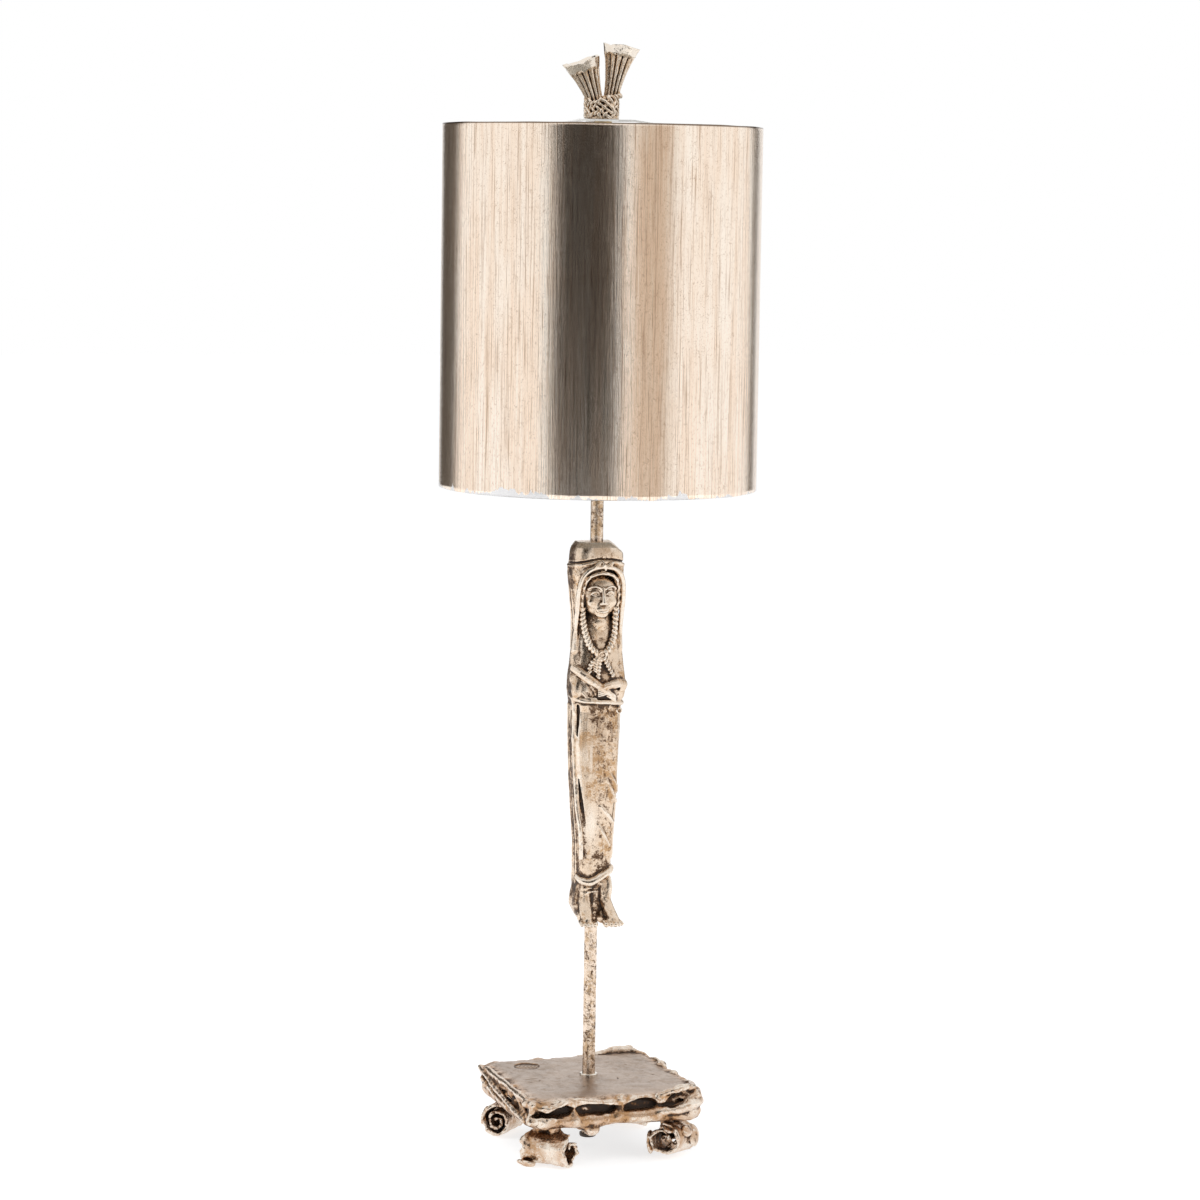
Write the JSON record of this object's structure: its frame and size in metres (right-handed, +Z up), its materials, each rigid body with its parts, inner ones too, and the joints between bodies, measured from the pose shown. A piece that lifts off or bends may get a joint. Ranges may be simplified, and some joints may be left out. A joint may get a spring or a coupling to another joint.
{
  "type": "table lamp",
  "caption": "Tall table lamp: robed figure on a thin stem, square slab on scroll feet, leafed drum shade on a harp, paired reed-head finial.",
  "frame": {"origin": "on the stem's axis at the level the feet stand on", "axes": "+Z up along the stem, the figure faces -Y, +X to the viewer's right from the front"},
  "size_m": [0.254, 0.254, 0.888],
  "materials": {
    "cast_leaf": "cast metal under antiqued silver leaf, brown in the hollows",
    "stem_leaf": "steel pipe under mottled silver leaf",
    "shade_leaf": "champagne metal leaf with fine vertical streaks on stiff card",
    "shade_lining": "smooth white lining",
    "white_enamel": "white enamelled wire and strap",
    "plated_brass": "plated brass, satin",
    "bright_steel": "zinc-plated steel",
    "black_plastic": "black moulded plastic",
    "fibre_card": "fibre insulating sleeve",
    "cap_aluminium": "rolled aluminium thread",
    "black_glaze": "vitrified insulator",
    "frosted_glass": "frosted globe"
  },
  "bodies": {
    "stand": {"base_slab": "cast_leaf", "foot_front_left": "cast_leaf", "foot_front_right": "cast_leaf", "foot_back_left": "cast_leaf", "foot_back_right": "cast_leaf", "stem_pipe": "stem_leaf", "stem_ring": "bright_steel", "base_washer": "bright_steel", "base_nut": "bright_steel", "cord_bushing": "black_plastic", "figure": "cast_leaf", "figure_grub_screw": "bright_steel", "saddle_locknut": "bright_steel", "harp_saddle": "plated_brass", "harp_wire": "plated_brass", "socket_cap": "plated_brass", "cap_screw": "bright_steel", "socket_shell": "plated_brass", "socket_liner": "fibre_card", "holder_body": "black_plastic", "terminal_screws": "bright_steel", "screw_shell": "plated_brass", "centre_contact": "plated_brass"},
    "sleeve_left": {"harp_sleeve_left": "plated_brass"},
    "sleeve_right": {"harp_sleeve_right": "plated_brass"},
    "switch_key": {"switch_spindle": "bright_steel", "switch_knob": "black_plastic"},
    "bulb": {"bulb_cap": "cap_aluminium", "bulb_insulator": "black_glaze", "bulb_contact": "bright_steel", "bulb_glass": "frosted_glass"},
    "shade": {"harp_stud": "plated_brass", "shade_top_frame": "white_enamel", "shade_bottom_ring": "white_enamel", "shade_skin": "shade_leaf", "shade_liner": "shade_lining"},
    "finial_top": {"finial": "cast_leaf", "finial_insert": "plated_brass"}
  },
  "joints": [
    {"name": "shade_turn", "type": "hinge", "parent": "stand", "child": "shade", "pos_m": [0, 0, 0.82], "axis": [0, 0, 1], "continuous": true},
    {"name": "finial_turn", "type": "hinge", "parent": "shade", "child": "finial_top", "pos_m": [0, 0, 0.84], "axis": [0, 0, 1], "continuous": true},
    {"name": "bulb_turn", "type": "hinge", "parent": "stand", "child": "bulb", "pos_m": [0, 0, 0.63], "axis": [0, 0, 1], "continuous": true},
    {"name": "switch_turn", "type": "hinge", "parent": "stand", "child": "switch_key", "pos_m": [0, -0.02, 0.5948], "axis": [0, -1, 0], "continuous": true},
    {"name": "sleeve_left_lift", "type": "slide", "parent": "stand", "child": "sleeve_left", "axis": [0, 0, 1], "range_m": [0, 0.012]},
    {"name": "sleeve_right_lift", "type": "slide", "parent": "stand", "child": "sleeve_right", "axis": [0, 0, 1], "range_m": [0, 0.012]}
  ]
}
